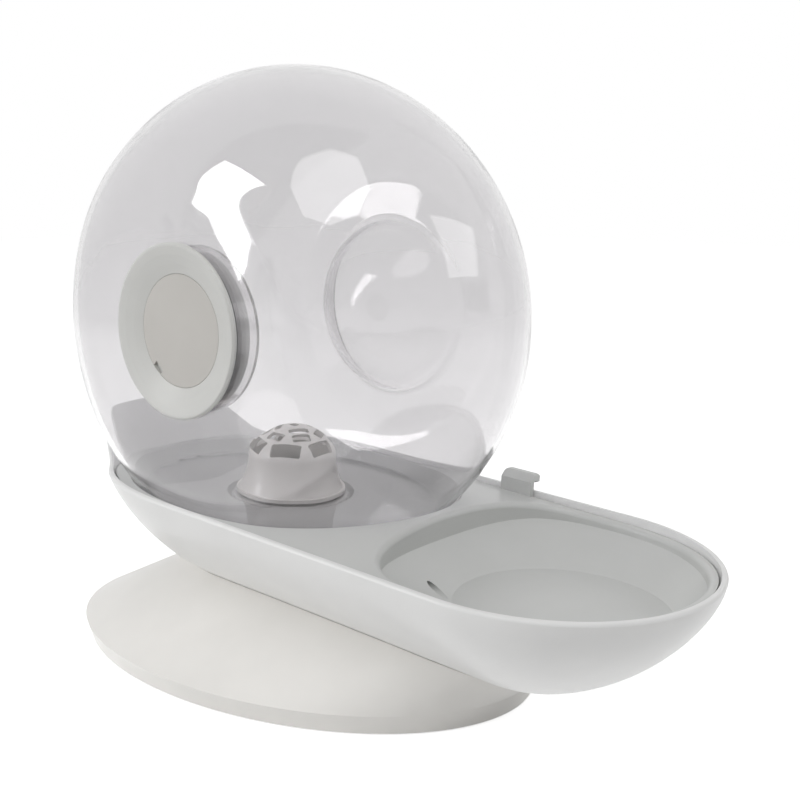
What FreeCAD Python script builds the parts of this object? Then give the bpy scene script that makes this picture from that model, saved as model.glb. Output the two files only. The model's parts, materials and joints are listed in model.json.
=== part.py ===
# Gravity water dispenser for cats and small dogs: a clear round tank on a long tray with a drinking bowl.
# Lengths are in millimetres. +Z is up, +X runs from the tank to the bowl, +Y is across.
# The origin is on the table, under the middle of the whole object.
# Pieces of the tray and the tank are drawn in a tray frame, whose zero height is the shell's rim,
# and are then tilted and lifted onto the foot by on_tray().

import FreeCAD, Part
import math
import os
from FreeCAD import Vector

# Placing of the tray frame
tray_x = -40.5             # tank centre line, from the middle of the object
tray_height = 72.4         # rim plane above the table, below the tank
tray_tilt = 3.4            # degrees, bowl end down

# Clear tank, a body of revolution about the cross axis
globe_radius = 100.0       # round outline seen from the side
rim_round = 74.9           # radius of the rim's curve across the tank
rim_turn = 42.9            # degrees from the rim's top to where the shoulder starts
side_plane = 62.6          # flat side, from the middle plane
globe_height = 68.0        # tank axis above the rim plane
tank_wall = 2.0
tank_floor = -7.0          # underside of the tank
dimple_radius = 40.0       # hand hollow in the far side
dimple_centre = 75.8
dimple_round = 5.0

# Filler neck and its screw cap, on the near side
filler_bore = 29.0
filler_wall = 2.5
filler_length = 12.6
cap_radius = 33.0
cap_flange = 1.6
cap_gasket_height = 0.8
cap_gasket_width = 3.0
cap_thread_gap = 0.3
cap_wall = 2.0
cap_plug_length = 9.6
cap_rim_width = 1.4
dish_floor_radius = 21.4
dish_depth = 3.5
disc_thickness = 1.4
disc_gap = 0.15
disc_notch_width = 5.0
disc_notch_depth = 2.4
disc_notch_angle = 232.0   # degrees round the cap, seen from outside

# Outlet neck, collar and stop valve under the tank
outlet_bore = 12.0
neck_bore = 18.5
neck_wall = 2.5
neck_length = 15.0
collar_thread_gap = 0.3
collar_wall = 3.2
collar_plate = 2.0
collar_top_gap = 1.0
collar_hole = 8.0
collar_ribs = 24
collar_rib_radius = 0.7
outlet_gasket_height = 1.0
guide_height = 2.5
guide_ring_width = 2.2
guide_gap = 0.1
guide_spokes = 3
guide_spoke_width = 2.4
hub_radius = 4.4
hub_height = 4.0
plunger_radius = 10.5
plunger_thickness = 2.0
stem_radius = 2.5
stem_gap = 0.1
stem_top_gap = 0.6
seal_thickness = 1.5
valve_stroke = 4.0
spring_radius = 6.4
spring_wire = 0.5
spring_turns = 3.0

# Filter dome and its pad, on the tank floor
dome_foot_radius = 22.6
dome_foot_height = 1.5
dome_skirt_radius = 21.5   # where the skirt meets its foot
dome_waist_radius = 18.2
dome_height = 28.0
dome_crown_radius = 21.3
dome_shoulder_radius = 8.0
dome_wall = 1.6
dome_ring_gap = 0.4
dome_ring_wall = 1.2
dome_ring_height = 1.8
dome_top_hole = 2.0
slot_round = 0.9
pad_radius = 16.0
pad_height = 11.0
pad_gap = 0.3

# Outer shell, a long hull with round ends
shell_radius = 64.5
shell_depth = 49.5
shell_wall = 2.4
shell_left = -8.0          # where the sides pass into the stern, under the tank
shell_right = 126.6        # centre of the bowl end's half circle
hull_fullness = 1.52
hull_flatness = 0.603
stern_reach = 73.6         # from shell_left to the stern, at the rim plane
stern_flare = 0.92         # how fast the stern leans out with height
stern_fullness = 5.8
stern_square = 0.92        # fullness of the stern's outline, 0.707 is an ellipse
hull_shares = (0.96, 0.87, 0.72, 0.54, 0.33, 0.14, 0.0)
stern_start = -60.0        # where the rim begins to rise towards the stern
stern_slope = 38.0         # degrees
stern_height = 17.0        # top of the stern above the rim plane
stern_low_round = 15.0
stern_high_round = 18.0
lip_round = 1.0
ledge_width = 2.2
ledge_thickness = 1.8
ledge_runs = [(-62.0, -42.0), (28.0, 74.0)]   # where it stands, along both sides, clear of tank seat and bowl

# Grey tray insert
insert_gap = 0.8
insert_wall = 1.8
insert_skirt = 6.0
seat_gap = 0.2             # under a piece that rests on another
globe_gap = 0.5            # round the tank, in its seat
deck_crown = 3.0           # rise of the deck beside the tank, above the rim plane
deck_side_drop = 4.6       # how far its sides fall below the rim plane
deck_end_drop = 1.2
well_gap = 2.0
well_clear = 9.0           # under the collar
pin_radius = 3.0
pin_gap = 0.2
bowl_rim_width = 3.4       # the insert's rim round the bowl end
bowl_ridge = 45.2          # from shell_right back to the mouth's edge beside the tank
bowl_square = 1.6          # fullness of the mouth's outline on the tank's side, 0.707 is an ellipse
bowl_floor_centre = 9.8    # past shell_right
bowl_floor_radius = 39.6
bowl_depth = 18.2
bowl_wall_bend = 1.2       # 1 is a straight wall, more is steeper at the mouth
bowl_rim_round = 2.0
bowl_wall = 1.5
duct_bore = 2.0
duct_wall = 1.6
duct_side = -24.0
duct_rise = 2.4            # duct axis above the bowl floor
hook_start = 66.0
hook_width = 15.0
hook_height = 7.2
hook_wall = 2.6
hook_reach = 4.0
hook_drop = 3.6
hook_round = 3.0

# Foot, a flared oval stand
foot_centre = 4.1          # from the tank centre line
foot_length = 109.5        # half length at the table
foot_width = 72.8          # half width at the table
foot_wall = 2.4
band_height = 7.4
band_flare = 2.2
foot_top_centre = 44.5
foot_top_length = 87.5
foot_top_width = 36.4
foot_top_depth = 36.0      # below the rim plane
foot_top_square = 2.5      # exponent of the top outline, 2 is an ellipse
foot_shoulder = 0.0        # share of the skirt's height that stays nearly upright
hull_seat_gap = 0.15
web_height = 10.0          # screw web above the table
web_thickness = 2.5
rib_depth = 3.0
rib_thickness = 1.6
boss_radius = 4.5
boss_places = [(-12.0, 16.0), (-12.0, -16.0), (84.0, 16.0), (84.0, -16.0)]
screw_shank = 1.25
screw_gap = 0.05
screw_reach = 9.0
screw_head = 3.2
screw_head_height = 2.0
screw_socket = 1.2
pad_proud = 0.8
foot_pad_radius = 8.0
foot_pad_thickness = 2.6
pad_post_wall = 1.6
pad_places = [(78.0, 36.0), (78.0, -36.0), (-70.0, 36.0), (-70.0, -36.0)]

X_AXIS = Vector(1, 0, 0)
Y_AXIS = Vector(0, 1, 0)
Z_AXIS = Vector(0, 0, 1)
FAR = 300.0                # reach of cutting blocks, well past every piece


def on_tray(shape):
    placed = shape.copy()
    placed.rotate(Vector(0, 0, 0), Y_AXIS, tray_tilt)
    placed.translate(Vector(tray_x, 0, tray_height))
    return placed


def off_tray(shape):
    placed = shape.copy()
    placed.translate(Vector(-tray_x, 0, -tray_height))
    placed.rotate(Vector(0, 0, 0), Y_AXIS, -tray_tilt)
    return placed


def closed_face(edges):
    return Part.Face(Part.Wire(edges))


def outline(points):
    closed = points + [points[0]]
    return closed_face([Part.makeLine(a, b) for a, b in zip(closed, closed[1:])])


def spun(points, centre=Vector(0, 0, 0)):
    face = outline([Vector(r, 0, w) + centre for r, w in points])
    return face.revolve(centre, Z_AXIS, 360)


def smooth_edge(points, start=None, end=None):
    curve = Part.BSplineCurve()
    if start is None:
        curve.interpolate(points)
    else:
        curve.interpolate(Points=points, InitialTangent=start, FinalTangent=end)
    return curve.toShape()


def tube(outer, inner, low, high):
    wall = Part.makeCylinder(outer, high - low, Vector(0, 0, low))
    return wall.cut(Part.makeCylinder(inner, high - low, Vector(0, 0, low)))


def above(height):
    return Part.makeBox(2 * FAR, 2 * FAR, FAR, Vector(-FAR, -FAR, height))


def below(height):
    return Part.makeBox(2 * FAR, 2 * FAR, FAR, Vector(-FAR, -FAR, height - FAR))


def joined(first, others):
    return first.fuse(others).removeSplitter()


# The tank's outline is drawn as distance along the cross axis and radius, and spun about that axis.
# A positive inset gives the inner face, a negative one the space that the tank needs in its seat.

def on_axis(across, radius):
    return Vector(0, across, globe_height + radius)


def globe_solid(inset):
    turn = math.radians(rim_turn)
    half_turn = (turn + math.pi / 2) / 2
    rim_centre = globe_radius - rim_round
    shoulder = (side_plane - rim_round * math.sin(turn)) / (1 - math.sin(turn))
    shoulder_across = side_plane - shoulder
    shoulder_centre = rim_centre + (rim_round - shoulder) * math.cos(turn)
    rim = rim_round - inset
    arc = shoulder - inset
    side = side_plane - inset
    hollow = dimple_radius + inset
    rounding = dimple_round - inset
    ends = (rim * math.sin(turn), rim_centre + rim * math.cos(turn))
    mids = (shoulder_across + arc * math.sin(half_turn), shoulder_centre + arc * math.cos(half_turn))
    fillet_across = side - rounding
    fillet_radius = math.sqrt((hollow + rounding) ** 2 - (dimple_centre - fillet_across) ** 2)
    share = hollow / (hollow + rounding)
    touch = (dimple_centre + share * (fillet_across - dimple_centre), share * fillet_radius)
    bend = (math.atan2(dimple_centre - fillet_across, fillet_radius) + math.pi / 2) / 2
    fillet_mid = on_axis(fillet_across + rounding * math.sin(bend), fillet_radius - rounding * math.cos(bend))
    bottom = math.atan2(touch[1], dimple_centre - touch[0]) / 2
    hollow_mid = on_axis(dimple_centre - hollow * math.cos(bottom), hollow * math.sin(bottom))
    edges = [
        Part.Arc(on_axis(-ends[0], ends[1]), on_axis(0, globe_radius - inset), on_axis(*ends)).toShape(),
        Part.Arc(on_axis(*ends), on_axis(*mids), on_axis(side, shoulder_centre)).toShape(),
        Part.makeLine(on_axis(side, shoulder_centre), on_axis(side, fillet_radius)),
        Part.Arc(on_axis(side, fillet_radius), fillet_mid, on_axis(*touch)).toShape(),
        Part.Arc(on_axis(*touch), hollow_mid, on_axis(dimple_centre - hollow, 0)).toShape(),
        Part.makeLine(on_axis(dimple_centre - hollow, 0), on_axis(-side, 0)),
        Part.makeLine(on_axis(-side, 0), on_axis(-side, shoulder_centre)),
        Part.Arc(on_axis(-side, shoulder_centre), on_axis(-mids[0], mids[1]), on_axis(-ends[0], ends[1])).toShape(),
    ]
    return closed_face(Part.__sortEdges__(edges)).revolve(on_axis(0, 0), Y_AXIS, 360)


# Levels of the outlet and valve stack, from the tank floor down
floor_top = tank_floor + tank_wall
neck_low = tank_floor - neck_length
gasket_low = neck_low - outlet_gasket_height
collar_low = gasket_low - collar_plate
collar_radius = neck_bore + neck_wall + collar_thread_gap + collar_wall
seal_low = gasket_low + valve_stroke
plunger_low = seal_low + seal_thickness
plunger_top = plunger_low + plunger_thickness
guide_low = tank_floor - guide_height
well_radius = collar_radius + well_gap
well_low = collar_low - well_clear
seat_top = tank_floor - seat_gap


def tank():
    outside = globe_solid(0).cut(below(tank_floor))
    inside = globe_solid(tank_wall).cut(below(floor_top))
    ring_inner = dome_foot_radius + dome_ring_gap
    ring = tube(ring_inner + dome_ring_wall, ring_inner, floor_top, floor_top + dome_ring_height)
    body = outside.cut(inside).fuse(ring)
    mouth = Part.makeCylinder(filler_bore, 2 * filler_length, Vector(0, -side_plane - filler_length, globe_height),
                              Y_AXIS)
    outlet_hole = Part.makeCylinder(outlet_bore, neck_length, Vector(0, 0, tank_floor - neck_length / 2))
    return body.cut([mouth, outlet_hole]).removeSplitter()


def filler_neck():
    # threaded inside, it stands on the inner face of the tank's side
    start = Vector(0, tank_wall - side_plane, globe_height)
    length = filler_length - tank_wall
    neck = Part.makeCylinder(filler_bore + filler_wall, length, start, Y_AXIS)
    return neck.cut(Part.makeCylinder(filler_bore, length, start, Y_AXIS))


def outlet_neck():
    return tube(neck_bore + neck_wall, neck_bore, neck_low, tank_floor)


# The cap is drawn looking along its axis: height 0 is the tank's flat side, positive heights go outwards.

def on_side(shape):
    placed = shape.copy()
    placed.rotate(Vector(0, 0, 0), X_AXIS, 90)
    placed.translate(Vector(0, -side_plane, globe_height))
    return placed


flange_low = cap_gasket_height
flange_top = flange_low + cap_flange
dish_low = flange_top - dish_depth
plug_radius = filler_bore - cap_thread_gap


def filler_cap():
    outer_slope = cap_radius - cap_rim_width
    body = spun([
        (0, dish_low - disc_thickness - cap_wall), (plug_radius - cap_wall, dish_low - disc_thickness - cap_wall),
        (plug_radius - cap_wall, -cap_plug_length), (plug_radius, -cap_plug_length),
        (plug_radius, flange_low), (cap_radius, flange_low),
        (cap_radius, flange_top - cap_rim_width / 2), (cap_radius - cap_rim_width / 2, flange_top),
        (outer_slope, flange_top), (plug_radius, flange_top - dish_depth * 0.2),
        ((plug_radius + dish_floor_radius) / 2, flange_top - dish_depth * 0.56), (dish_floor_radius, dish_low),
        (dish_floor_radius, dish_low - disc_thickness), (0, dish_low - disc_thickness),
    ])
    return on_side(body)


def cap_disc():
    radius = dish_floor_radius - disc_gap
    disc = Part.makeCylinder(radius, disc_thickness, Vector(0, 0, dish_low - disc_thickness))
    notch = Part.makeBox(disc_notch_depth * 2, disc_notch_width, 2 * disc_thickness,
                         Vector(radius - disc_notch_depth, -disc_notch_width / 2, dish_low - 1.5 * disc_thickness))
    notch.rotate(Vector(0, 0, 0), Z_AXIS, disc_notch_angle)
    return on_side(disc.cut(notch))


def cap_gasket():
    inner = filler_bore + cap_thread_gap
    return on_side(tube(inner + cap_gasket_width, inner, 0, cap_gasket_height))


def outlet_gasket():
    return tube(neck_bore + neck_wall, neck_bore + stem_gap, gasket_low, neck_low)


def outlet_collar():
    inner = neck_bore + neck_wall + collar_thread_gap
    top = tank_floor - collar_top_gap
    body = Part.makeCylinder(collar_radius - collar_rib_radius, top - collar_low, Vector(0, 0, collar_low))
    ribs = []
    for k in range(collar_ribs):
        angle = 2 * math.pi * k / collar_ribs
        reach = collar_radius - collar_rib_radius
        place = Vector(reach * math.cos(angle), reach * math.sin(angle), collar_low)
        ribs.append(Part.makeCylinder(collar_rib_radius, top - collar_low, place))
    body = body.fuse(ribs)
    body = body.cut(Part.makeCylinder(inner, FAR, Vector(0, 0, gasket_low)))
    body = body.cut(Part.makeCylinder(collar_hole, FAR, Vector(0, 0, collar_low - FAR / 2)))
    return body.removeSplitter()


def valve_guide():
    outer = neck_bore - guide_gap
    ring = tube(outer, outer - guide_ring_width, guide_low, tank_floor)
    hub = Part.makeCylinder(hub_radius, hub_height, Vector(0, 0, tank_floor - hub_height))
    spokes = []
    for k in range(guide_spokes):
        spoke = Part.makeBox(outer - guide_ring_width / 2, guide_spoke_width, guide_height,
                             Vector(0, -guide_spoke_width / 2, guide_low))
        spoke.rotate(Vector(0, 0, 0), Z_AXIS, 360.0 * k / guide_spokes)
        spokes.append(spoke)
    body = ring.fuse([hub] + spokes)
    return body.cut(Part.makeCylinder(stem_radius + stem_gap, FAR, Vector(0, 0, -FAR / 2))).removeSplitter()


def valve_plunger():
    top = floor_top - stem_top_gap
    disc = Part.makeCylinder(plunger_radius, plunger_thickness, Vector(0, 0, plunger_low))
    return disc.fuse(Part.makeCylinder(stem_radius, top - plunger_low, Vector(0, 0, plunger_low))).removeSplitter()


def valve_seal():
    return Part.makeCylinder(plunger_radius, seal_thickness, Vector(0, 0, seal_low))


def valve_spring():
    # a round wire along a coil of quarter turns, each a circular arc
    low = plunger_top + spring_wire
    high = guide_low - spring_wire

    def at(turn):
        angle = 2 * math.pi * turn
        return Vector(spring_radius * math.cos(angle), spring_radius * math.sin(angle),
                      low + (high - low) * turn / spring_turns)

    quarters = [Part.Arc(at(k / 4.0), at((k + 0.5) / 4.0), at((k + 1) / 4.0)).toShape()
                for k in range(int(4 * spring_turns))]
    start = quarters[0].tangentAt(quarters[0].FirstParameter)
    wire = Part.Wire([Part.makeCircle(spring_wire, at(0), start)])
    return Part.Wire(quarters).makePipeShell([wire], True, False)


# The dome's outside: a crown arc, a shoulder arc and a hollow skirt arc that meet without a corner.

def dome_solid(inset):
    crown_level = dome_height - dome_crown_radius
    share = dome_crown_radius - dome_shoulder_radius
    shoulder_centre = dome_waist_radius - dome_shoulder_radius
    shoulder_level = crown_level + math.sqrt(share ** 2 - shoulder_centre ** 2)
    turn = math.asin((shoulder_level - crown_level) / share)
    drop = shoulder_level - dome_foot_height
    spread = dome_skirt_radius - dome_waist_radius
    skirt = (spread ** 2 + drop ** 2) / (2 * spread)
    skirt_centre = dome_waist_radius + skirt
    crown = dome_crown_radius - inset
    shoulder = dome_shoulder_radius - inset
    hollow = skirt + inset

    def at(centre, level, radius, angle):
        return Vector(centre + radius * math.cos(angle), 0, level + radius * math.sin(angle))

    top = at(0, crown_level, crown, math.pi / 2)
    low = Vector(skirt_centre - math.sqrt(hollow ** 2 - drop ** 2), 0, dome_foot_height)
    bend = math.asin(drop / hollow)
    edges = [
        Part.Arc(top, at(0, crown_level, crown, (turn + math.pi / 2) / 2), at(0, crown_level, crown, turn)).toShape(),
        Part.Arc(at(0, crown_level, crown, turn), at(shoulder_centre, shoulder_level, shoulder, turn / 2),
                 at(shoulder_centre, shoulder_level, shoulder, 0)).toShape(),
        Part.Arc(at(shoulder_centre, shoulder_level, shoulder, 0),
                 at(skirt_centre, shoulder_level, hollow, math.pi + bend / 2), low).toShape(),
        Part.makeLine(low, Vector(low.x, 0, 0)),
        Part.makeLine(Vector(low.x, 0, 0), Vector(0, 0, 0)),
        Part.makeLine(Vector(0, 0, 0), top),
    ]
    return closed_face(edges).revolve(Vector(0, 0, 0), Z_AXIS, 360)


def slot_ring(count, width, turn_deg, radius, length):
    # each slot is a short block with rounded corners, pushed square through the dome's crown
    crown_level = dome_height - dome_crown_radius
    height = crown_level + math.sqrt(dome_crown_radius ** 2 - radius ** 2)
    reach = 2.5 * dome_wall
    block = Part.makeBox(2 * reach, width, length, Vector(-reach, -width / 2, -length / 2))
    block = block.makeFillet(slot_round, [e for e in block.Edges if abs(e.Length - 2 * reach) < 1e-6
                                          and abs(e.CenterOfMass.x) < 1e-6])
    block.rotate(Vector(0, 0, 0), Y_AXIS, -math.degrees(math.atan2(height - crown_level, radius)))
    block.translate(Vector(radius, 0, height))
    slots = []
    for k in range(count):
        slot = block.copy()
        slot.rotate(Vector(0, 0, 0), Z_AXIS, turn_deg + 360.0 * k / count)
        slots.append(slot)
    return slots


def filter_dome():
    foot = Part.makeCylinder(dome_foot_radius, dome_foot_height)
    body = dome_solid(0).fuse(foot).cut(dome_solid(dome_wall))
    slots = slot_ring(6, 12.4, -56.5, 15.9, 6.0)
    slots += slot_ring(6, 7.8, -28, 11.0, 4.2)
    slots += slot_ring(3, 8.6, -28, 6.5, 3.2)
    slots.append(Part.makeCylinder(dome_top_hole, dome_height))
    body = body.cut(slots).removeSplitter()
    body.translate(Vector(0, 0, floor_top))
    return body


def filter_pad():
    return Part.makeCylinder(pad_radius, pad_height, Vector(0, 0, floor_top + pad_gap))


# The shell's hull: level sections, each with straight sides, a round bowl end and a fuller, raised stern.

def hull_section(inset, level):
    depth = shell_depth - lip_round - inset
    share = max(0.0, (-lip_round - level) / depth)
    half = (shell_radius - inset) * (1 - share ** hull_fullness) ** hull_flatness
    reach = (stern_reach + stern_flare * level - inset) * (1 - share ** stern_fullness) ** hull_flatness
    left, right, tip = shell_left, shell_right, shell_left - reach
    stern = Part.BSplineCurve()
    stern.buildFromPolesMultsKnots(
        [Vector(left, half, level), Vector(tip, half, level), Vector(tip, 0, level), Vector(tip, -half, level),
         Vector(left, -half, level)],
        [3, 2, 3], [0, 1, 2], False, 2, [1, stern_square, 1, stern_square, 1])
    return Part.Wire([
        Part.makeLine(Vector(left, -half, level), Vector(right, -half, level)),
        Part.Arc(Vector(right, -half, level), Vector(right + half, 0, level), Vector(right, half, level)).toShape(),
        Part.makeLine(Vector(right, half, level), Vector(left, half, level)),
        stern.toShape(),
    ])


def hull_solid(inset):
    depth = shell_depth - lip_round - inset
    levels = [-lip_round - depth * share for share in hull_shares] + [4.0, 14.0, 26.0, 38.0]
    return Part.makeLoft([hull_section(inset, level) for level in levels], True, False)


def hull_slab(inset, low, high):
    # a level slice of the space inside the hull
    levels = sorted({low, (low - lip_round) / 2, -lip_round, high})
    return Part.makeLoft([hull_section(inset, level) for level in levels if low <= level <= high], True, True)


def above_rim():
    # the rim lies level beside the deck and rises to the stern
    slope = math.radians(stern_slope)
    sine, cosine = math.sin(slope), math.cos(slope)
    low_end = Vector(stern_start - stern_low_round * sine, 0, stern_low_round * (1 - cosine))
    high_start_level = stern_height - stern_high_round * (1 - cosine)
    high_start = Vector(low_end.x - (high_start_level - low_end.z) / math.tan(slope), 0, high_start_level)
    high_end = Vector(high_start.x - stern_high_round * sine, 0, stern_height)
    low_mid = Vector(stern_start - stern_low_round * math.sin(slope / 2), 0,
                     stern_low_round * (1 - math.cos(slope / 2)))
    high_mid = Vector(high_end.x + stern_high_round * math.sin(slope / 2), 0,
                      stern_height - stern_high_round * (1 - math.cos(slope / 2)))
    start = Vector(stern_start, 0, 0)
    corners = [Vector(-FAR, 0, stern_height), Vector(-FAR, 0, FAR), Vector(FAR, 0, FAR), Vector(FAR, 0, 0)]
    edges = [Part.makeLine(corners[3], start), Part.Arc(start, low_mid, low_end).toShape(),
             Part.makeLine(low_end, high_start), Part.Arc(high_start, high_mid, high_end).toShape(),
             Part.makeLine(high_end, corners[0])]
    edges += [Part.makeLine(a, b) for a, b in zip(corners, corners[1:])]
    body = closed_face(edges).extrude(Vector(0, 2 * FAR, 0))
    body.translate(Vector(0, -FAR, 0))
    return body


def outer_shell():
    solid = hull_solid(0).cut(above_rim())
    solid = solid.makeFillet(lip_round * 0.98, [e for e in solid.Edges if e.BoundBox.ZMin > -1e-4])
    inner = hull_solid(shell_wall)
    ledge_top = -insert_skirt - seat_gap
    ledge_low = ledge_top - ledge_thickness
    band = hull_slab(shell_wall / 2, ledge_low, ledge_top)
    band = band.cut(hull_slab(shell_wall + ledge_width, ledge_low - 1, ledge_top + 1))
    ledges = [band.common(Part.makeBox(end - start, 2 * FAR, FAR, Vector(start, -FAR, -FAR / 2)))
              for start, end in ledge_runs]
    bosses = []
    holes = []
    for place_x, place_y in boss_places:
        foot_of_boss = Vector(place_x + tray_x, place_y, web_height + web_thickness)
        bosses.append(off_tray(Part.makeCylinder(boss_radius, tray_height / 2, foot_of_boss)).cut(inner))
        holes.append(off_tray(Part.makeCylinder(screw_shank + screw_gap, screw_reach, foot_of_boss)))
    body = solid.fuse(bosses).cut(inner).fuse(ledges).cut(holes)
    return on_tray(body.removeSplitter())


def deck_space(shift):
    # everything above the crowned deck, moved down by shift
    stations = [
        (shell_left - 2 * shell_radius, -deck_end_drop, -deck_end_drop),
        (shell_left, -deck_side_drop * 0.7, deck_crown * 0.7),
        (globe_radius * 0.78, -deck_side_drop, deck_crown),
        (shell_right, -deck_side_drop, deck_crown * 0.3),
        (shell_right + 1.2 * shell_radius, -deck_side_drop, -deck_end_drop),
    ]
    half = 1.15 * shell_radius
    high = 12 * deck_crown
    wires = []
    for along, edge, crown in stations:
        low_a = Vector(along, -half, edge - shift)
        low_b = Vector(along, half, edge - shift)
        top = Vector(along, 0, crown - shift + 0.001)
        wires.append(Part.Wire([
            Part.Arc(low_a, top, low_b).toShape(),
            Part.makeLine(low_b, Vector(along, half, high)),
            Part.makeLine(Vector(along, half, high), Vector(along, -half, high)),
            Part.makeLine(Vector(along, -half, high), low_a),
        ]))
    return Part.makeLoft(wires, True, False)


# The bowl: a round floor, and a mouth that is a half circle in the shell's round end and squarer on the tank's side.

def bowl_section(grow, share, level):
    # share 0 is the floor, 1 the mouth
    reach = bowl_wall_share(share)
    mouth = shell_radius - shell_wall - insert_gap - bowl_rim_width
    centre = shell_right + bowl_floor_centre * (1 - reach)
    half = bowl_floor_radius + (mouth - bowl_floor_radius) * reach + grow
    ridge = bowl_floor_radius + (bowl_ridge - bowl_floor_radius) * reach + grow
    square = 0.7071 + (bowl_square - 0.7071) * reach
    tip = centre - ridge
    left = Part.BSplineCurve()
    left.buildFromPolesMultsKnots(
        [Vector(centre, half, level), Vector(tip, half, level), Vector(tip, 0, level), Vector(tip, -half, level),
         Vector(centre, -half, level)],
        [3, 2, 3], [0, 1, 2], False, 2, [1, square, 1, square, 1])
    right = Part.Arc(Vector(centre, -half, level), Vector(centre + half, 0, level), Vector(centre, half, level))
    return Part.Wire([right.toShape(), left.toShape()])


def bowl_wall_share(share):
    return 1 - (1 - share) ** bowl_wall_bend


def bowl_solid(grow, low, high):
    # curved wall from the floor up to the mouth, carried on above the deck
    top = -3.2 * bowl_rim_round
    sections = [bowl_section(grow, share, low + (top - low) * share) for share in (0, 0.25, 0.5, 0.75, 1)]
    wall = Part.makeLoft(sections, True, False)
    mouth = Part.Face(bowl_section(grow, 1, top)).extrude(Vector(0, 0, high - top))
    return wall.fuse(mouth)


def mouth_edges(body):
    # the edge between the bowl's wall and the deck, all round
    found = []
    wall = bowl_section(0, 1, 0)
    for edge in body.Edges:
        points = edge.discretize(9)
        if min(p.z for p in points) < -2.2 * bowl_rim_round:
            continue
        if max(wall.distToShape(Part.Vertex(Vector(p.x, p.y, 0)))[0] for p in points) < 0.02:
            found.append(edge)
    return found


def lift_hook():
    # an upside-down J on the far edge of the insert
    outer = shell_radius - shell_wall - insert_gap
    inner = outer - hook_wall
    points = [(inner, -insert_skirt / 2), (inner, hook_height - hook_round), (inner + hook_round, hook_height),
              (outer + hook_reach - 1.0, hook_height), (outer + hook_reach, hook_height - 1.0),
              (outer + hook_reach, hook_drop), (outer + hook_reach - hook_wall, hook_drop),
              (outer + hook_reach - hook_wall, hook_height - hook_wall), (outer, hook_height - hook_wall - 0.8),
              (outer, -insert_skirt / 2)]
    face = outline([Vector(hook_start, v, w) for v, w in points])
    body = face.extrude(Vector(hook_width, 0, 0))
    corners = [e for e in body.Edges if abs(e.CenterOfMass.z - hook_height) < 1e-6
               and abs(e.CenterOfMass.y - (outer + hook_reach - 1.0 + inner + hook_round) / 2) < 1e-6]
    return body.makeFillet(1.4, corners)


def tray_insert():
    inset = shell_wall + insert_gap
    deck_above = deck_space(0)
    slab = hull_slab(inset, -insert_skirt, 2 * deck_crown).cut(deck_above)
    hollow = hull_slab(inset + insert_wall, -2 * insert_skirt, 2 * deck_crown).cut(deck_space(insert_wall))
    bowl = bowl_solid(bowl_wall, -bowl_depth - bowl_wall, deck_crown).cut(deck_above)
    bowl_space = bowl_solid(0, -bowl_depth, 4 * deck_crown)
    body = slab.cut(hollow).fuse(bowl).cut(bowl_space).removeSplitter()
    body = body.makeFillet(bowl_rim_round, mouth_edges(body))
    seat = globe_solid(-globe_gap - insert_wall).common(hull_slab(inset, seat_top - insert_wall, 2 * deck_crown))
    seat = seat.cut(deck_above)
    well = Part.makeCylinder(well_radius + insert_wall, seat_top - well_low + insert_wall,
                             Vector(0, 0, well_low - insert_wall))
    duct_level = -bowl_depth + duct_rise
    duct_start = Vector(math.sqrt(well_radius ** 2 - duct_side ** 2), duct_side, duct_level)
    duct_end = shell_right + bowl_floor_centre - math.sqrt(bowl_floor_radius ** 2 - duct_side ** 2)
    duct_run = duct_end - duct_start.x
    duct = Part.makeCylinder(duct_bore + duct_wall, duct_run, duct_start, X_AXIS).cut(bowl_space)
    body = body.fuse([seat, well, duct])
    body = body.cut(globe_solid(-globe_gap).cut(below(seat_top)))
    body = body.cut(Part.makeCylinder(well_radius, FAR, Vector(0, 0, well_low)))
    bore_start = duct_start - X_AXIS * well_gap
    body = body.cut(Part.makeCylinder(duct_bore, duct_run + 2 * well_gap, bore_start, X_AXIS))
    pin = Part.makeCylinder(pin_radius, seal_low - pin_gap - well_low, Vector(0, 0, well_low))
    return joined(body, [pin, lift_hook()])


# The foot is a loft of closed outlines, from the table to the tilted plane under the hull.

def foot_point(angle, share, inset):
    c, s = math.cos(angle), math.sin(angle)
    power = 2.0 / foot_top_square
    low_x = foot_centre + (foot_length + band_flare - inset) * c
    low_y = (foot_width + band_flare - inset) * s
    top_x = foot_top_centre + (foot_top_length - inset) * math.copysign(abs(c) ** power, c)
    top_y = (foot_top_width - inset) * math.copysign(abs(s) ** power, s)
    top_z = tray_height - foot_top_depth - top_x * math.tan(math.radians(tray_tilt))
    ease = share - foot_shoulder * math.sin(math.pi * share) * (1 - share) ** 2
    low_z = pad_proud + band_height
    return Vector(tray_x + low_x + (top_x - low_x) * ease, low_y + (top_y - low_y) * ease,
                  low_z + (top_z - low_z) * share)


def closed_curve(points):
    curve = Part.BSplineCurve()
    curve.interpolate(Points=points, PeriodicFlag=True)
    return Part.Wire([curve.toShape()])


def oval(half_length, half_width, height):
    points = []
    for k in range(24):
        angle = 2 * math.pi * k / 24
        points.append(Vector(tray_x + foot_centre + half_length * math.cos(angle),
                             half_width * math.sin(angle), height))
    return closed_curve(points)


def skirt_solid(inset):
    wires = []
    for share in (0.0, 0.08, 0.2, 0.5, 1.0):
        wires.append(closed_curve([foot_point(2 * math.pi * k / 24, share, inset) for k in range(24)]))
    return Part.makeLoft(wires, True, False)


def band_solid(inset, low):
    top = pad_proud + band_height
    wires = [oval(foot_length - inset, foot_width - inset, low),
             oval(foot_length + band_flare - inset, foot_width + band_flare - inset, top)]
    return Part.makeLoft(wires, True, True)


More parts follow.
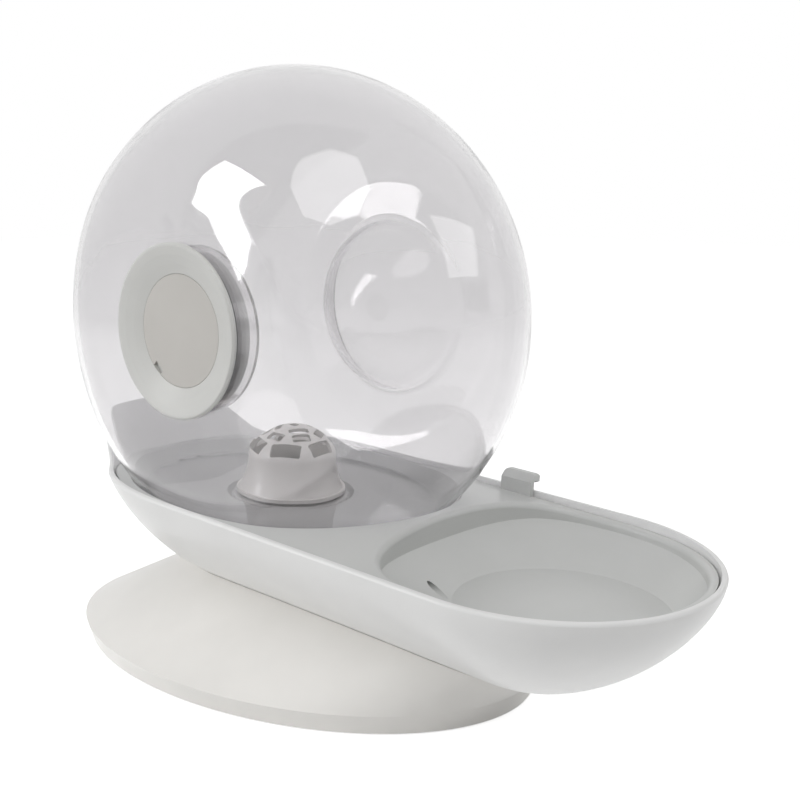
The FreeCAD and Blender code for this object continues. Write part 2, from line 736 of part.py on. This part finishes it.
def foot():
    outside = skirt_solid(0).fuse(band_solid(0, pad_proud))
    inside = skirt_solid(foot_wall).fuse(band_solid(foot_wall, pad_proud))
    shell_walls = outside.cut(inside)
    slab = Part.makeBox(2 * FAR, 2 * FAR, web_thickness, Vector(-FAR, -FAR, web_height))
    web = inside.common(slab)
    additions = [web]
    ribs = [Part.makeBox(2 * FAR, rib_thickness, rib_depth, Vector(-FAR, -rib_thickness / 2, web_height - rib_depth))]
    for place in (boss_places[0][0], (boss_places[0][0] + boss_places[2][0]) / 2, boss_places[2][0]):
        ribs.append(Part.makeBox(rib_thickness, 2 * FAR, rib_depth,
                                 Vector(tray_x + place - rib_thickness / 2, -FAR, web_height - rib_depth)))
    for rib in ribs:
        additions.append(rib.common(inside))
    post_radius = foot_pad_radius + pad_post_wall
    post_low = pad_proud
    for place_x, place_y in pad_places:
        additions.append(Part.makeCylinder(post_radius, web_height - post_low + web_thickness / 2,
                                           Vector(tray_x + place_x, place_y, post_low)))
    body = shell_walls.fuse(additions)
    cuts = []
    for place_x, place_y in pad_places:
        cuts.append(Part.makeCylinder(foot_pad_radius + seat_gap, foot_pad_thickness,
                                      Vector(tray_x + place_x, place_y, 0)))
    for place_x, place_y in boss_places:
        cuts.append(Part.makeCylinder(screw_shank + screw_gap * 2, 2 * web_height,
                                      Vector(tray_x + place_x, place_y, 0)))
        cuts.append(Part.makeCylinder(screw_head + screw_gap * 4, rib_depth,
                                      Vector(tray_x + place_x, place_y, web_height - rib_depth)))
    body = body.cut(cuts)
    body = body.cut(on_tray(hull_solid(-hull_seat_gap)))
    return max(body.Solids, key=lambda solid: solid.Volume)


def foot_pad(place_x, place_y):
    return Part.makeCylinder(foot_pad_radius, foot_pad_thickness, Vector(tray_x + place_x, place_y, 0))


def foot_screws():
    screws = []
    for place_x, place_y in boss_places:
        place = Vector(tray_x + place_x, place_y, web_height - screw_head_height)
        head = Part.makeCylinder(screw_head, screw_head_height, place)
        shank = Part.makeCylinder(screw_shank, web_thickness + screw_reach - 1.0, place + Z_AXIS * screw_head_height)
        socket = Part.makeCylinder(screw_socket, screw_head_height / 2, place)
        screws.append(head.fuse(shank).cut(socket).removeSplitter())
    return Part.makeCompound(screws)


def build():
    pieces = {
        "foot": foot(),
        "foot_screws": foot_screws(),
        "outer_shell": outer_shell(),
        "tray_insert": on_tray(tray_insert()),
        "tank": on_tray(tank()),
        "filler_neck": on_tray(filler_neck()),
        "outlet_neck": on_tray(outlet_neck()),
        "filler_cap": on_tray(filler_cap()),
        "cap_disc": on_tray(cap_disc()),
        "cap_gasket": on_tray(cap_gasket()),
        "filter_dome": on_tray(filter_dome()),
        "filter_pad": on_tray(filter_pad()),
        "outlet_collar": on_tray(outlet_collar()),
        "outlet_gasket": on_tray(outlet_gasket()),
        "valve_guide": on_tray(valve_guide()),
        "valve_spring": on_tray(valve_spring()),
        "valve_plunger": on_tray(valve_plunger()),
        "valve_seal": on_tray(valve_seal()),
    }
    for number, (place_x, place_y) in enumerate(pad_places, 1):
        pieces["foot_pad_%d" % number] = foot_pad(place_x, place_y)
    return pieces


os.makedirs("parts", exist_ok=True)
for name, shape in build().items():
    box = shape.BoundBox
    print("%-16s solids %d valid %s volume %9.1f  x %7.1f %7.1f  y %6.1f %6.1f  z %6.1f %6.1f" % (
        name, len(shape.Solids), shape.isValid(), shape.Volume,
        box.XMin, box.XMax, box.YMin, box.YMax, box.ZMin, box.ZMax))
    shape.exportStep("parts/%s.step" % name)
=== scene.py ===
import bmesh
import bpy
import json
import math
import mathutils
from mathutils import Matrix, Vector


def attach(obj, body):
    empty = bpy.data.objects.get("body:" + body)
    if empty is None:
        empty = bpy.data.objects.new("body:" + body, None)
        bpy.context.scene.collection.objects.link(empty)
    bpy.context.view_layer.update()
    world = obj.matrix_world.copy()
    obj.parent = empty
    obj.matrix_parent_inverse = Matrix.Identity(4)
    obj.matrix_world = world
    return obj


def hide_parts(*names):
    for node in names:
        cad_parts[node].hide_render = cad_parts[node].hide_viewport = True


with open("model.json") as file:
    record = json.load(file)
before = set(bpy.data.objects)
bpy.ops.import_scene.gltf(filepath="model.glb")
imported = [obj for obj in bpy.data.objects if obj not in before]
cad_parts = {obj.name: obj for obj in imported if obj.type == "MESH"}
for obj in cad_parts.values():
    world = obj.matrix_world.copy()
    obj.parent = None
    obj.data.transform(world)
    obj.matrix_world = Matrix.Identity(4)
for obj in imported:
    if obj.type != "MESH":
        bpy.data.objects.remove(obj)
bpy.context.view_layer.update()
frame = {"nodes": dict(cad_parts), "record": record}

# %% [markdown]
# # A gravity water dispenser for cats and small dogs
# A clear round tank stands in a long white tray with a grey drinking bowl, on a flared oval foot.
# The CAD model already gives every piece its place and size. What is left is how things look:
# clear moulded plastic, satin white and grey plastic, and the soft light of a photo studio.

MM = 0.001


def srgb(hex_colour):
    """A web colour such as "#c8c8c4" as linear RGB with alpha 1."""
    values = [int(hex_colour[i:i + 2], 16) / 255 for i in (1, 3, 5)]
    return [v / 12.92 if v <= 0.04045 else ((v + 0.055) / 1.055) ** 2.4 for v in values] + [1.0]


def add_node(tree, kind, settings=None, **links):
    """Adds a node, sets what settings names (an attribute or an input) and links the sockets in links."""
    node = tree.nodes.new(kind)
    for key, value in (settings or {}).items():
        if hasattr(node, key) and key not in node.inputs:
            setattr(node, key, value)
        else:
            node.inputs[key].default_value = value
    for key, socket in links.items():
        tree.links.new(socket, node.inputs[int(key[1:]) if key[1:].isdigit() else key.replace("_", " ")])
    return node


def blank_material(name):
    """A material and its emptied node tree."""
    material = bpy.data.materials.new(name)
    material.use_nodes = True
    material.node_tree.nodes.clear()
    return material, material.node_tree


def principled_material(name):
    """A material, its node tree and its principled shader."""
    material = bpy.data.materials.new(name)
    material.use_nodes = True
    return material, material.node_tree, material.node_tree.nodes["Principled BSDF"]


# %% [markdown]
# ## The camera
# The photograph was taken from close by, a little above the rim, so near parts look large.
# A camera that stands where the photographer stood gives the same foreshortening.

# %% Camera
scene = bpy.context.scene
scene.view_settings.view_transform = "Standard"
camera_data = bpy.data.cameras.new("camera")
camera_data.sensor_width = 36
camera_data.lens = 55.28
camera_data.clip_start = 0.01
camera = bpy.data.objects.new("camera", camera_data)
scene.collection.objects.link(camera)
camera_place = Vector((317.9, -356.1, 197.7)) * MM
camera_target = Vector((18.25, 0.63, 112.2)) * MM
aim = (camera_target - camera_place).to_track_quat("-Z", "Y")
camera.rotation_mode = "QUATERNION"
camera.location = camera_place
camera.rotation_quaternion = aim @ mathutils.Quaternion((0, 0, 1), math.radians(0.14))
scene.camera = camera

# %% [markdown]
# ## The studio
# The object stands on white paper under a white tent, so plain white surrounds it on all sides.
# The tent's light is the world. Its strength is 1, pure white, for everything that looks straight at it,
# in a gloss or through the clear tank, and less where it only lights a surface, so that pale plastic keeps its tone.

# %% World and floor
ambient = 0.3      # the tent's light on surfaces
paper_glow = 0.74  # lifts the paper to pure white where it is looked at
paper_reach = 3.0  # metres from the middle to the paper's edge


def strength_seen(tree, lighting, looked_at):
    """A strength: looked_at where a thing is seen, also in a gloss or through clear plastic, else lighting."""
    rays = add_node(tree, "ShaderNodeLightPath").outputs
    seen = add_node(tree, "ShaderNodeMath", {"operation": "ADD"},
                    _0=rays["Is Camera Ray"], _1=rays["Is Transmission Ray"])
    seen = add_node(tree, "ShaderNodeMath", {"operation": "ADD", "use_clamp": True},
                    _0=seen.outputs[0], _1=rays["Is Glossy Ray"])
    return add_node(tree, "ShaderNodeMapRange", {"To Min": lighting, "To Max": looked_at},
                    Value=seen.outputs[0]).outputs[0]


world = bpy.data.worlds.new("white_tent")
scene.world = world
world.use_nodes = True
tree = world.node_tree
tree.nodes.clear()
sky = add_node(tree, "ShaderNodeBackground", {"Color": srgb("#ffffff")}, Strength=strength_seen(tree, ambient, 1.0))
add_node(tree, "ShaderNodeOutputWorld", {}, Surface=sky.outputs[0])


def stage_sheet(name, corners, material):
    """A flat sheet of the studio, which isn't part of the object."""
    mesh = bpy.data.meshes.new(name)
    mesh.from_pydata([Vector(c) for c in corners], [], [list(range(len(corners)))])
    mesh.materials.append(material)
    obj = bpy.data.objects.new(name, mesh)
    scene.collection.objects.link(obj)
    return obj


paper, tree = blank_material("white_studio_paper")
lit = add_node(tree, "ShaderNodeBsdfDiffuse", {"Color": srgb("#efefef")})
glow = add_node(tree, "ShaderNodeEmission", {"Color": srgb("#ffffff")},
                Strength=strength_seen(tree, 0.0, paper_glow))
both = add_node(tree, "ShaderNodeAddShader", {}, _0=lit.outputs[0], _1=glow.outputs[0])
add_node(tree, "ShaderNodeOutputMaterial", {}, Surface=both.outputs[0])
paper_corners = [(x * paper_reach, y * paper_reach, 0) for x, y in ((-1, -1), (1, -1), (1, 1), (-1, 1))]
stage_sheet("paper_floor", paper_corners, paper)
print("studio: world and paper")

# %% [markdown]
# The photograph's highlights on the tank are pictures of its lamps: two soft boxes on the camera's left and above,
# and a window of the tent on the right. A lamp whose corners stand where the highlight's corners point to,
# once mirrored by the tank, gives the same highlight, and lights the rest from the proper side as well.

# %% Soft boxes


def soft_box(name, corners, strength):
    """A lamp with a flat glowing cloth. The corners are in metres."""
    material, tree = blank_material(name + "_cloth")
    cloth = add_node(tree, "ShaderNodeEmission", {"Color": srgb("#ffffff"), "Strength": strength})
    add_node(tree, "ShaderNodeOutputMaterial", {}, Surface=cloth.outputs[0])
    return stage_sheet(name, corners, material)


soft_box("left_box", [(-0.936, -0.843, 0.164), (-0.883, -0.871, 0.061), (-0.302, -1.006, 0.863),
                      (-0.657, -0.858, 0.824)], 8.5)
soft_box("top_box", [(0.037, -0.889, 1.057), (0.183, -1.024, 0.875), (0.588, -0.779, 0.957), (0.764, -0.451, 1.048),
                     (0.659, -0.138, 1.215), (0.396, -0.009, 1.346), (0.205, -0.162, 1.386), (0.102, -0.432, 1.337)],
         3.0)
soft_box("right_window", [(0.826, 0.369, 0.89), (1.064, 0.371, 0.47), (0.857, 0.762, 0.409),
                          (0.638, 0.834, 0.663)], 2.6)
print("lamps: left_box, top_box, right_window")

# %% [markdown]
# ## The plastics
# Almost everything here is injection moulded. A mould with a fine spark-eroded texture gives satin ABS:
# a broad soft highlight, and a faint grain about half a millimetre wide that breaks it up.
# Each finish below is one shader with the grain as a bump and in the roughness, and a tone that drifts a little.

# %% Moulded plastics


drift_width = 28  # mm, of the slow change of tone


def moulded(name, colour, roughness, grain_mm=0.6, grain_depth=0.04, drift=0.03, **more):
    """A satin moulded plastic. grain_mm and grain_depth (mm) are the mould texture's width and depth,
    drift is how far the tone wanders, and more sets constants on the shader's sockets."""
    material, tree, shader = principled_material(name)
    for key, value in more.items():
        shader.inputs[key.replace("_", " ")].default_value = value
    place = add_node(tree, "ShaderNodeTexCoord")
    grain = add_node(tree, "ShaderNodeTexNoise", {"Scale": 1 / (grain_mm * MM), "Detail": 2.0, "Roughness": 0.55},
                     Vector=place.outputs["Object"])
    bump = add_node(tree, "ShaderNodeBump", {"Strength": 0.35, "Distance": grain_depth * MM},
                    Height=grain.outputs["Fac"])
    tree.links.new(bump.outputs[0], shader.inputs["Normal"])
    flow = add_node(tree, "ShaderNodeTexNoise", {"Scale": 1 / (drift_width * MM), "Detail": 3.0, "Roughness": 0.5},
                    Vector=place.outputs["Object"])
    tone = add_node(tree, "ShaderNodeMapRange", {"From Min": 0.3, "From Max": 0.7, "To Min": 1 - drift,
                                                 "To Max": 1 + drift * 0.4}, Value=flow.outputs["Fac"])
    tinted = add_node(tree, "ShaderNodeMix", {"data_type": "RGBA", "blend_type": "MULTIPLY", "Factor": 1.0},
                      _7=tone.outputs[0])
    tinted.inputs[6].default_value = srgb(colour)  # the first of the two colours
    tree.links.new(tinted.outputs[2], shader.inputs["Base Color"])
    gloss = add_node(tree, "ShaderNodeMapRange", {"From Min": 0.3, "From Max": 0.7, "To Min": roughness * 0.9,
                                                  "To Max": roughness * 1.12}, Value=grain.outputs["Fac"])
    tree.links.new(gloss.outputs[0], shader.inputs["Roughness"])
    return material


polish = {"Coat_Weight": 0.08, "Coat_Roughness": 0.2}
white_abs = moulded("white_moulded_abs", "#efefee", 0.34, grain_depth=0.02, **polish)
warm_abs = moulded("warm_white_moulded_abs", "#f2f0ec", 0.36, grain_depth=0.02, **polish)
grey_abs = moulded("light_grey_moulded_abs", "#cdcecc", 0.36, grain_depth=0.01, **polish)
cap_pp = moulded("grey_moulded_polypropylene_cap", "#cfcfcc", 0.42, grain_depth=0.02)
disc_pp = moulded("warm_grey_polypropylene_disc", "#c3c0bb", 0.45, grain_depth=0.02)
dome_pp = moulded("grey_polypropylene_dome", "#cbc8c6", 0.32, grain_depth=0.01)
valve_pom = moulded("natural_white_acetal_valve", "#dedddb", 0.38)
silicone = moulded("translucent_silicone_gasket", "#dcdcda", 0.5, Subsurface_Weight=0.2,
                   Subsurface_Radius=(2 * MM, 2 * MM, 2 * MM))
foot_rubber = moulded("dark_grey_rubber_pad", "#4c4b4a", 0.75, grain_mm=0.9, drift=0.08)
print("materials so far:", len(bpy.data.materials))

# %% [markdown]
# The tank and its two necks are clear copolyester. It is blow moulded, so the wall is clear and glossy
# but not perfectly even, and a faint ripple bends what is seen through it.
# Light has to reach what is inside, so a shadow ray passes straight through with a little loss.

# %% Clear plastic


def clear_plastic(name, tint, ripple_mm, ripple_depth):
    """A clear plastic whose wall ripples: ripple_mm wide and ripple_depth (mm) deep."""
    material, tree, shader = principled_material(name)
    shader.inputs["Base Color"].default_value = srgb(tint)
    shader.inputs["Roughness"].default_value = 0.015
    shader.inputs["IOR"].default_value = 1.5
    shader.inputs["Transmission Weight"].default_value = 1.0
    place = add_node(tree, "ShaderNodeTexCoord")
    ripple = add_node(tree, "ShaderNodeTexNoise", {"Scale": 1 / (ripple_mm * MM), "Detail": 1.0},
                      Vector=place.outputs["Object"])
    bump = add_node(tree, "ShaderNodeBump", {"Strength": 0.5, "Distance": ripple_depth * MM},
                    Height=ripple.outputs["Fac"])
    tree.links.new(bump.outputs[0], shader.inputs["Normal"])
    path = add_node(tree, "ShaderNodeLightPath")
    through = add_node(tree, "ShaderNodeBsdfTransparent", {"Color": srgb("#f3f3f4")})
    mix = add_node(tree, "ShaderNodeMixShader", {}, _0=path.outputs["Is Shadow Ray"], _1=shader.outputs[0],
                   _2=through.outputs[0])
    tree.links.new(mix.outputs[0], tree.nodes["Material Output"].inputs["Surface"])
    return material


clear_tank = clear_plastic("clear_blow_moulded_copolyester", "#e4e3e4", ripple_mm=34, ripple_depth=0.25)
print("clear plastic:", clear_tank.name)

# %% [markdown]
# The screws and the valve's spring are drawn stainless steel. Drawing and turning leave fine marks
# round the axis, which show as a stretched noise in the roughness.

# %% Steel
steel, tree, shader = principled_material("drawn_stainless_steel")
shader.inputs["Base Color"].default_value = srgb("#b9b8b6")
shader.inputs["Metallic"].default_value = 1.0
place = add_node(tree, "ShaderNodeTexCoord")
stretch = add_node(tree, "ShaderNodeMapping", {"Scale": (1, 1, 8)}, Vector=place.outputs["Object"])
marks = add_node(tree, "ShaderNodeTexNoise", {"Scale": 1 / (0.5 * MM), "Detail": 3.0}, Vector=stretch.outputs[0])
gloss = add_node(tree, "ShaderNodeMapRange", {"To Min": 0.22, "To Max": 0.42}, Value=marks.outputs["Fac"])
tree.links.new(gloss.outputs[0], shader.inputs["Roughness"])
print("steel:", steel.name)

# %% [markdown]
# Every CAD node keeps its shape and gets the finish of its real material. The foot comes from another mould
# and another batch of plastic than the shell, so its white is a little warmer.

# %% Finishes on the CAD nodes
finish_of = {"white_shell": white_abs, "grey_insert": grey_abs, "clear_tank": clear_tank, "grey_dome": dome_pp,
             "grey_cap": cap_pp, "warm_disc": disc_pp, "valve_plastic": valve_pom, "gasket_rubber": silicone,
             "foot_rubber": foot_rubber, "filter_cotton": dome_pp, "screw_steel": steel}
slot_of = {row["node"]: row["material_slot"] for row in frame["record"]["subparts"]}
for name, obj in frame["nodes"].items():
    obj.data.materials.clear()
    obj.data.materials.append(warm_abs if name == "foot" else finish_of[slot_of[name]])
print("finished CAD nodes:", len(frame["nodes"]))

# %% [markdown]
# ## The tank
# The tank is turned round a level axis that runs across the object: two flat sides, a round rim,
# and a deep round hollow in the far side for the hand. A flat is cut at the bottom, where it stands in its seat.
# The CAD solid is exact, but its mesh is coarse for something that bends light. So the same profile
# is drawn again here, from the same sizes, and turned in many fine steps. Points that would lie below
# the flat bottom are lifted onto it.

# %% Tank sizes, as in the CAD model
tray_place = Vector((-40.5, 0, 72.4))
tray_turn = Matrix.Rotation(math.radians(3.4), 4, "Y")
axis_height = 68.0
wall = 2.0
bottom_level = -7.0
side_plane, rim_radius, rim_turn = 62.6, 74.9, math.radians(42.9)
hollow_radius, hollow_centre, hollow_round = 40.0, 75.8, 5.0
filler_bore, outlet_bore = 29.0, 12.0
side_steps = (38.0, 46.0)  # extra rings on the flat side, for an even mesh


def on_tray(point):
    """From the tray's own tilted frame, in mm, to the scene, in metres."""
    return (tray_turn @ Vector(point) + tray_place) * MM


def arc(centre, radius, start, end, steps):
    """Points on an arc round centre, from the angle start to the angle end."""
    return [(centre[0] + radius * math.cos(start + (end - start) * k / steps),
             centre[1] + radius * math.sin(start + (end - start) * k / steps)) for k in range(steps + 1)]


def tank_profile(inset):
    """Half outline of the tank, from the filler mouth round to the bottom of the hand hollow: (across, radius)."""
    rim_centre = 100.0 - rim_radius
    shoulder = (side_plane - rim_radius * math.sin(rim_turn)) / (1 - math.sin(rim_turn))
    shoulder_across = side_plane - shoulder
    shoulder_centre = rim_centre + (rim_radius - shoulder) * math.cos(rim_turn)
    side, hollow, rounding = side_plane - inset, hollow_radius + inset, hollow_round - inset
    tilt = math.pi / 2 - rim_turn
    points = [(-side, radius) for radius in (filler_bore, *side_steps)]
    points += arc((-shoulder_across, shoulder_centre), shoulder - inset, math.pi, math.pi - tilt, 16)
    points += arc((0, rim_centre), rim_radius - inset, math.pi - tilt, tilt, 44)[1:]
    points += arc((shoulder_across, shoulder_centre), shoulder - inset, tilt, 0, 16)[1:]
    fillet_across = side - rounding
    fillet_radius = math.sqrt((hollow + rounding) ** 2 - (hollow_centre - fillet_across) ** 2)
    turn = math.atan2(fillet_radius, hollow_centre - fillet_across)
    points += arc((fillet_across, fillet_radius), rounding, 0, -turn, 8)
    points += arc((hollow_centre, 0), hollow, math.pi - turn, math.pi, 26)[1:]
    return points


def turned_tank(steps):
    """The profile turned round the tank's axis. Points below the flat bottom are lifted onto it."""
    outer, inner = tank_profile(0), tank_profile(wall)
    rings = [(across, radius, bottom_level) for across, radius in outer]
    rings += [(across, radius, bottom_level + wall) for across, radius in reversed(inner)]
    mesh = bmesh.new()
    grid = []
    for across, radius, floor_level in rings:
        ring = []
        for k in range(steps):
            angle = 2 * math.pi * k / steps
            level = max(axis_height - radius * math.cos(angle), floor_level)
            ring.append(mesh.verts.new(on_tray((radius * math.sin(angle), across, level))))
        grid.append(ring)
    for first, second in zip(grid, grid[1:] + grid[:1]):
        for k in range(steps):
            mesh.faces.new((first[k], first[(k + 1) % steps], second[(k + 1) % steps], second[k]))
    bmesh.ops.remove_doubles(mesh, verts=mesh.verts, dist=1e-7)
    bmesh.ops.recalc_face_normals(mesh, faces=mesh.faces)
    return mesh


def finished(name, mesh, material, body, smooth_deg=40):
    """Turns a bmesh into a piece with smooth shading that rides on a CAD body."""
    data = bpy.data.meshes.new(name)
    mesh.to_mesh(data)
    mesh.free()
    data.materials.append(material)
    data.shade_smooth()
    obj = bpy.data.objects.new(name, data)
    scene.collection.objects.link(obj)
    if smooth_deg:
        data.set_sharp_from_angle(angle=math.radians(smooth_deg))
    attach(obj, body)
    return obj


tank_mesh = turned_tank(192)
print("tank:", len(tank_mesh.verts), "points, volume of plastic, cm3:",
      round(tank_mesh.calc_volume(signed=True) / MM ** 3 / 1000, 1))
tank = finished("clear_tank_shell", tank_mesh, clear_tank, "tank_unit")

# %% [markdown]
# The outlet goes through both skins of the bottom. A drill along the tray's upright axis cuts it.

# %% Outlet hole


def cut_hole(obj, radius, low, high):
    """Cuts a round hole along the tray's upright axis through both faces of the bottom."""
    drill_mesh = bmesh.new()
    bmesh.ops.create_cone(drill_mesh, cap_ends=True, segments=64, radius1=radius, radius2=radius, depth=high - low)
    for vert in drill_mesh.verts:
        vert.co = on_tray((vert.co.x, vert.co.y, vert.co.z + (low + high) / 2))
    data = bpy.data.meshes.new("drill")
    drill_mesh.to_mesh(data)
    drill_mesh.free()
    drill = bpy.data.objects.new("drill", data)
    scene.collection.objects.link(drill)
    cutter = obj.modifiers.new("hole", "BOOLEAN")
    cutter.object = drill
    cutter.solver = "EXACT"
    graph = bpy.context.evaluated_depsgraph_get()
    data_new = bpy.data.meshes.new_from_object(obj.evaluated_get(graph))
    obj.modifiers.remove(cutter)
    old = obj.data
    obj.data = data_new
    bpy.data.meshes.remove(old)
    bpy.data.objects.remove(drill)


cut_hole(tank, outlet_bore, bottom_level - 3, bottom_level + 6)
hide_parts("tank")
print("tank with its outlet hole:", len(tank.data.polygons), "faces")

# %% [markdown]
# ## The filter pad
# Under the dome lies a small pad of needled cotton. It is soft: crowned on top and bottom, pinched at its rim.
# A round grid is pushed into that shape, with a little unevenness.

# %% Filter pad
cotton, tree, shader = principled_material("needled_cotton_felt")
shader.inputs["Sheen Weight"].default_value = 0.3
shader.inputs["Sheen Roughness"].default_value = 0.5
shader.inputs["Roughness"].default_value = 0.9
place = add_node(tree, "ShaderNodeTexCoord")
fibre = add_node(tree, "ShaderNodeTexNoise", {"Scale": 1 / (1.1 * MM), "Detail": 6.0, "Roughness": 0.7},
                 Vector=place.outputs["Object"])
shade = add_node(tree, "ShaderNodeValToRGB", {}, Fac=fibre.outputs["Fac"])
shade.color_ramp.elements[0].color = srgb("#cfcdc9")
shade.color_ramp.elements[1].color = srgb("#f2f1ee")
tree.links.new(shade.outputs[0], shader.inputs["Base Color"])
bump = add_node(tree, "ShaderNodeBump", {"Strength": 0.8, "Distance": 0.3 * MM}, Height=fibre.outputs["Fac"])
tree.links.new(bump.outputs[0], shader.inputs["Normal"])

pad_radius, pad_low, pad_height = 15.8, -4.6, 10.6
pad_middle = pad_low + pad_height / 2
pad_crown = pad_height / 2 - 0.4


def pad_mesh(rings=14, steps=64):
    """Two round skins that meet at the rim, in rings from the middle outwards."""
    mesh = bmesh.new()
    skins = []
    for top in (True, False):
        skin = []
        for i in range(rings + 1):
            share = i / rings
            radius = pad_radius * share
            crown = (1 - share ** 5) ** 0.5
            ring = []
            for k in range(steps):
                angle = 2 * math.pi * k / steps
                wave = 0.18 * math.sin(3 * angle + share * 5) + 0.12 * math.sin(7 * angle - share * 9)
                half = pad_crown * crown * (1 if top else 0.98) + wave * crown * (1 - share) * 2 * share
                level = pad_middle + (half if top else -half)
                ring.append(mesh.verts.new(on_tray((radius * math.cos(angle), radius * math.sin(angle), level))))
            skin.append(ring)
        skins.append(skin)
    for skin in skins:
        for a, b in zip(skin, skin[1:]):
            for k in range(steps):
                mesh.faces.new((a[k], a[(k + 1) % steps], b[(k + 1) % steps], b[k]))
    bmesh.ops.remove_doubles(mesh, verts=mesh.verts, dist=1e-6)
    bmesh.ops.recalc_face_normals(mesh, faces=mesh.faces)
    return mesh


pad = finished("cotton_filter_pad", pad_mesh(), cotton, "filter", smooth_deg=0)
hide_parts("filter_pad")
print("filter pad:", len(pad.data.polygons), "faces")

# %% [markdown]
# Heat welds close the pad's rim: small flat buttons where the cotton has melted together. They repeat
# round a circle, so Geometry Nodes sets them out. The group places one squashed ball on each point
# of a circle, and its named inputs give their number, size and unevenness.

# %% Welded dots


def weld_ring(name, settings, material):
    """A ring of welded buttons as one mesh in the tray's frame. settings are the group's inputs, in mm."""
    group = bpy.data.node_groups.new(name, "GeometryNodeTree")
    group.interface.new_socket("Geometry", in_out="OUTPUT", socket_type="NodeSocketGeometry")
    kinds = {"Count": "NodeSocketInt", "Seed": "NodeSocketInt"}
    sockets = {key: group.interface.new_socket(key, in_out="INPUT", socket_type=kinds.get(key, "NodeSocketFloat"))
               for key in settings}
    entry = add_node(group, "NodeGroupInput").outputs
    circle = add_node(group, "GeometryNodeMeshCircle", {}, Vertices=entry["Count"], Radius=entry["Ring radius"])
    ball = add_node(group, "GeometryNodeMeshIcoSphere", {"Subdivisions": 3}, Radius=entry["Dot radius"])
    button = add_node(group, "GeometryNodeTransform", {"Scale": (1.0, 1.0, 0.45)}, Geometry=ball.outputs["Mesh"])
    size = add_node(group, "FunctionNodeRandomValue", {"data_type": "FLOAT"}, Seed=entry["Seed"],
                    _2=entry["Smallest"], _3=entry["Largest"])
    placed = add_node(group, "GeometryNodeInstanceOnPoints", {}, Points=circle.outputs["Mesh"],
                      Instance=button.outputs["Geometry"], Scale=size.outputs[1])
    real = add_node(group, "GeometryNodeRealizeInstances", {}, Geometry=placed.outputs["Instances"])
    dressed = add_node(group, "GeometryNodeSetMaterial", {"Material": material}, Geometry=real.outputs["Geometry"])
    add_node(group, "NodeGroupOutput", {}, Geometry=dressed.outputs["Geometry"])

    obj = bpy.data.objects.new(name, bpy.data.meshes.new(name))
    scene.collection.objects.link(obj)
    ring = obj.modifiers.new(name, "NODES")
    ring.node_group = group
    for key, value in settings.items():
        ring[sockets[key].identifier] = value
    data = bpy.data.meshes.new_from_object(obj.evaluated_get(bpy.context.evaluated_depsgraph_get()))
    obj.modifiers.remove(ring)
    obj.data = data
    return obj


weld = moulded("fused_cotton_weld", "#e4e2de", 0.6, grain_mm=0.8)
share_out = 0.92  # of the pad's radius
weld_level = pad_middle + pad_crown * math.sqrt(1 - share_out ** 5)  # on the pad's top skin
dots = weld_ring("pad_weld_dots", {"Count": 20, "Seed": 7, "Ring radius": pad_radius * share_out * MM,
                                   "Dot radius": 1.1 * MM, "Smallest": 0.85, "Largest": 1.1}, weld)
dots.data.transform(Matrix.Translation(tray_place * MM) @ tray_turn @ Matrix.Translation((0, 0, weld_level * MM)))
dots.data.shade_smooth()
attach(dots, "filter")
print("welded dots:", len(dots.data.polygons), "faces")
